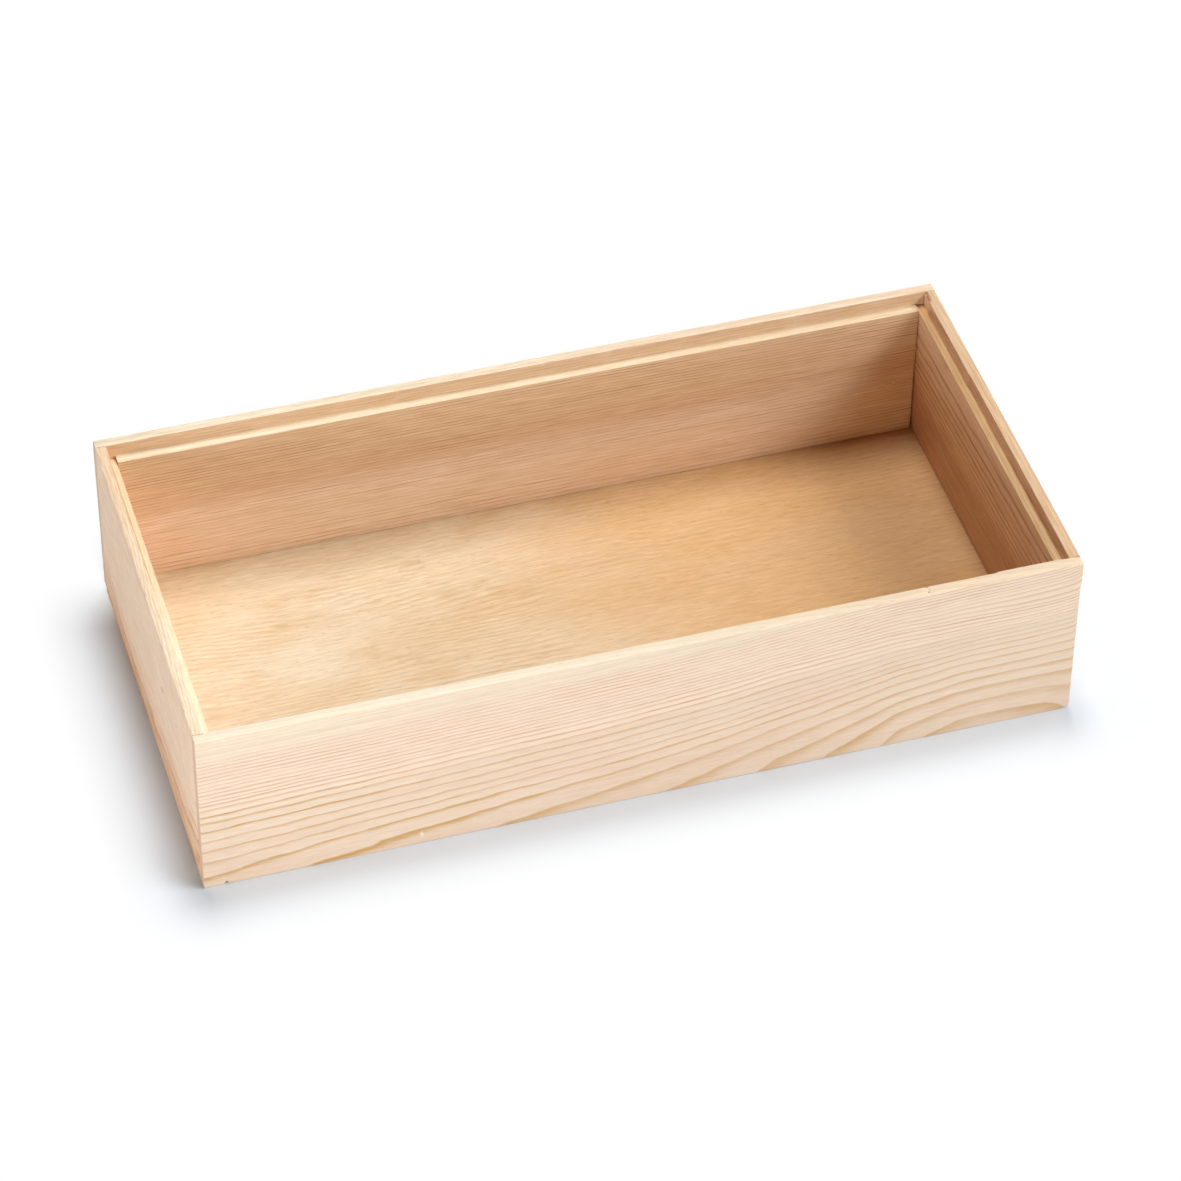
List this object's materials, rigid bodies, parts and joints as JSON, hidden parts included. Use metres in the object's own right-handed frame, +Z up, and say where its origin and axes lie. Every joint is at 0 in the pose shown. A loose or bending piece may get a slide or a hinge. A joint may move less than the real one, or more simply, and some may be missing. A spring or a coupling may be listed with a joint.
{
  "type": "open wooden storage box",
  "caption": "Open rectangular pine box with rebated glued corners, a rebate round the inside of the rim for a drop-in lid, and a plywood floor held in grooves.",
  "frame": {"origin": "on the table under the middle of the box, at the level of the boards' bottom edges", "axes": "+X along the box's length to the right, +Y from the front to the back, +Z up"},
  "size_m": [0.36, 0.18, 0.08],
  "materials": {
    "pine_front": "bare sanded pine, fine close growth rings and a low cathedral figure",
    "pine_back": "bare sanded pine, straight close growth rings",
    "pine_left": "bare sanded pine, pale, nearly plain",
    "pine_right": "bare sanded pine, straight growth rings",
    "plywood": "bare sanded plywood, blotchy rotary-cut figure"
  },
  "bodies": {
    "root": {"front_wall": "pine_front", "back_wall": "pine_back", "left_end": "pine_left", "right_end": "pine_right", "base_panel": "plywood"}
  },
  "joints": []
}
